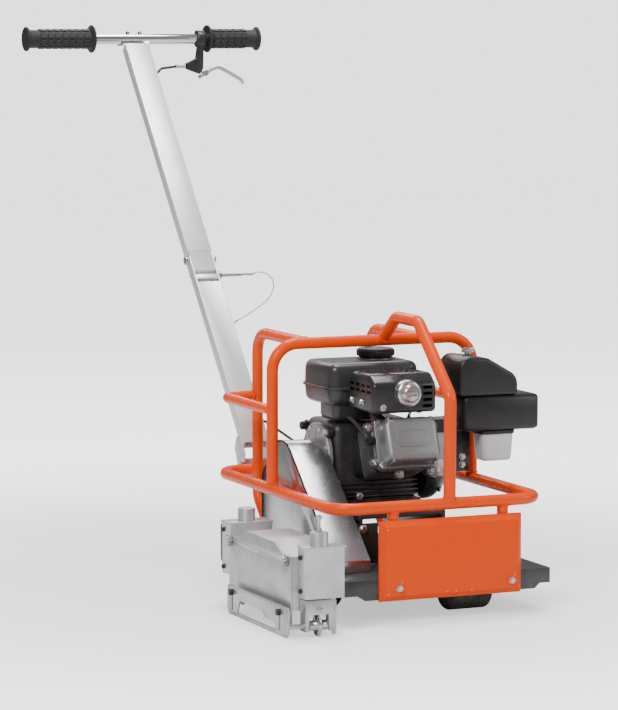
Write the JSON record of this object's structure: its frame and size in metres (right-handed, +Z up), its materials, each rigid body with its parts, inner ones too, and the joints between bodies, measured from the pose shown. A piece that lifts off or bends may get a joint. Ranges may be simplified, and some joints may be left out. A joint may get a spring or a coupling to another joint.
{
  "type": "walk-behind joint saw",
  "caption": "Small walk-behind petrol saw for cutting joints in fresh concrete, with a side blade block, a tube guard round the engine and a folding T handle.",
  "frame": {"origin": "middle of the whole machine's footprint box, on the floor", "axes": "+Z up; +Y from the front plate to the operator's handlebar; +X to the right seen from the front plate's side with the blade block on -X"},
  "size_m": [0.617, 1.3184, 1.025],
  "materials": {
    "orange_paint": "semi-gloss powder coat",
    "chassis_grey": "satin paint",
    "wheel_rubber": "matt",
    "axle_steel": "turned",
    "block_alloy": "matt brushed sheet",
    "skid_alloy": "worn matt sheet",
    "guard_zinc": "bright zinc sheet",
    "bright_steel": "plated",
    "blade_steel": "ground",
    "pulley_iron": "machined",
    "belt_rubber": "matt",
    "flap_rubber": "matt",
    "mount_alloy": "cast",
    "engine_grey": "cast, dark coated",
    "rocker_alloy": "cast",
    "engine_black": "satin",
    "black_plastic": "fine grain",
    "bowl_clear": "translucent",
    "post_silver": "satin anodised",
    "bar_chrome": "bright",
    "grip_rubber": "moulded waffle",
    "cable_black": "satin",
    "lanyard_wire": "stranded",
    "switch_red": "moulded"
  },
  "bodies": {
    "base": {"belt_guard": "guard_zinc", "block_door": "block_alloy", "block_housing": "block_alloy", "carburettor": "mount_alloy", "chassis_base": "chassis_grey", "cleaner_base": "black_plastic", "cleaner_cover": "black_plastic", "crankcase": "engine_grey", "cylinder": "engine_grey", "drive_belt": "belt_rubber", "dust_bowl": "bowl_clear", "engine_mount": "mount_alloy", "exhaust_deflector": "bright_steel", "fold_bolt": "bright_steel", "front_left_axle": "axle_steel", "front_plate": "orange_paint", "front_right_axle": "axle_steel", "front_skid_screw": "bright_steel", "front_spring_box": "block_alloy", "fuel_tank": "engine_black", "guard_ring": "orange_paint", "lanyard": "lanyard_wire", "lower_cable": "cable_black", "lower_post": "post_silver", "muffler_cover": "engine_black", "post_bracket": "post_silver", "rear_axle": "axle_steel", "rear_flap": "flap_rubber", "rear_skid_screw": "bright_steel", "rear_spring_box": "block_alloy", "recoil_housing": "engine_black", "rocker_cover": "rocker_alloy", "upper_guard": "orange_paint"},
    "front_right_wheel_body": {"front_right_wheel": "wheel_rubber"},
    "front_left_wheel_body": {"front_left_wheel": "wheel_rubber"},
    "rear_right_wheel_body": {"rear_right_wheel": "wheel_rubber"},
    "rear_left_wheel_body": {"rear_left_wheel": "wheel_rubber"},
    "arbor": {"arbor_shaft": "blade_steel", "arbor_pulley": "pulley_iron", "saw_blade": "blade_steel", "arbor_nut": "blade_steel"},
    "engine_output": {"engine_pulley": "pulley_iron"},
    "skid": {"skid_plate": "skid_alloy", "roller_yoke": "skid_alloy"},
    "guide_wheel": {"guide_roller": "bright_steel"},
    "rear_wing_nut": {"rear_door_nut": "bright_steel"},
    "front_wing_nut": {"front_door_nut": "bright_steel"},
    "handle": {"upper_post": "post_silver", "handlebar": "bar_chrome", "left_grip": "grip_rubber", "right_grip": "grip_rubber", "lever_bracket": "engine_black", "upper_cable": "cable_black"},
    "hand_lever": {"control_lever": "bright_steel"},
    "pin": {"lock_pin": "bright_steel"},
    "tank_cap": {"fuel_cap": "black_plastic"},
    "cleaner_wing_nut": {"cleaner_nut": "bright_steel"},
    "starter_grip": {"recoil_grip": "black_plastic"},
    "throttle": {"throttle_lever": "bright_steel"},
    "engine_switch": {"stop_switch": "switch_red"}
  },
  "joints": [
    {"name": "front_right_wheel_roll", "type": "hinge", "parent": "base", "child": "front_right_wheel_body", "pos_m": [0.1225, -0.49685, 0.036], "axis": [1, 0, 0], "continuous": true},
    {"name": "front_left_wheel_roll", "type": "hinge", "parent": "base", "child": "front_left_wheel_body", "pos_m": [-0.097, -0.38585, 0.036], "axis": [1, 0, 0], "continuous": true},
    {"name": "rear_right_wheel_roll", "type": "hinge", "parent": "base", "child": "rear_right_wheel_body", "pos_m": [0.1875, -0.17185, 0.036], "axis": [1, 0, 0], "continuous": true},
    {"name": "rear_left_wheel_roll", "type": "hinge", "parent": "base", "child": "rear_left_wheel_body", "pos_m": [-0.0945, -0.17185, 0.036], "axis": [1, 0, 0], "continuous": true},
    {"name": "arbor_spin", "type": "hinge", "parent": "base", "child": "arbor", "pos_m": [-0.1535, -0.44685, 0.08], "axis": [1, 0, 0], "continuous": true},
    {"name": "engine_spin", "type": "hinge", "parent": "base", "child": "engine_output", "pos_m": [-0.1035, -0.26585, 0.233], "axis": [1, 0, 0], "continuous": true},
    {"name": "skid_float", "type": "slide", "parent": "base", "child": "skid", "axis": [0, 0, 1], "range_m": [0, 0.027], "stiffness_N_per_m": 800, "springref_m": -0.01},
    {"name": "guide_roller_spin", "type": "hinge", "parent": "skid", "child": "guide_wheel", "pos_m": [-0.2223, -0.63985, 0.0195], "axis": [1, 0, 0], "continuous": true},
    {"name": "rear_door_nut_turn", "type": "hinge", "parent": "base", "child": "rear_wing_nut", "pos_m": [-0.2626, -0.35635, 0.121], "axis": [1, 0, 0], "continuous": true},
    {"name": "front_door_nut_turn", "type": "hinge", "parent": "base", "child": "front_wing_nut", "pos_m": [-0.2626, -0.60635, 0.123], "axis": [1, 0, 0], "continuous": true},
    {"name": "handle_fold", "type": "hinge", "parent": "base", "child": "handle", "pos_m": [-0.0785, 0.26343, 0.57113], "axis": [1, 0, 0], "range_deg": [0, 105]},
    {"name": "hand_lever_pull", "type": "hinge", "parent": "handle", "child": "hand_lever", "pos_m": [0.078, 0.63115, 0.927], "axis": [0, -1, 0], "range_deg": [0, 18], "stiffness_Nm_per_rad": 0.4, "springref_deg": -8.59},
    {"name": "lock_pin_pull", "type": "slide", "parent": "base", "child": "pin", "axis": [1, 0, 0], "range_m": [0, 0.058]},
    {"name": "fuel_cap_turn", "type": "hinge", "parent": "base", "child": "tank_cap", "pos_m": [0.0665, -0.23985, 0.4243], "axis": [0, 0, 1], "range_deg": [0, 90]},
    {"name": "cleaner_nut_turn", "type": "hinge", "parent": "base", "child": "cleaner_wing_nut", "pos_m": [0.1825, -0.38385, 0.4373], "axis": [0, 0, 1], "continuous": true},
    {"name": "starter_pull", "type": "slide", "parent": "base", "child": "starter_grip", "axis": [1, 0, 0], "range_m": [0, 0.35], "stiffness_N_per_m": 12, "springref_m": -0.3},
    {"name": "throttle_turn", "type": "hinge", "parent": "base", "child": "throttle", "pos_m": [0.1515, -0.24585, 0.324], "axis": [1, 0, 0], "range_deg": [-25, 25]},
    {"name": "stop_switch_turn", "type": "hinge", "parent": "base", "child": "engine_switch", "pos_m": [0.0765, -0.17025, 0.285], "axis": [0, 1, 0], "range_deg": [0, 60]}
  ],
  "couplings": [
    {"joint": "engine_spin", "follows": "arbor_spin", "ratio": 0.75}
  ]
}
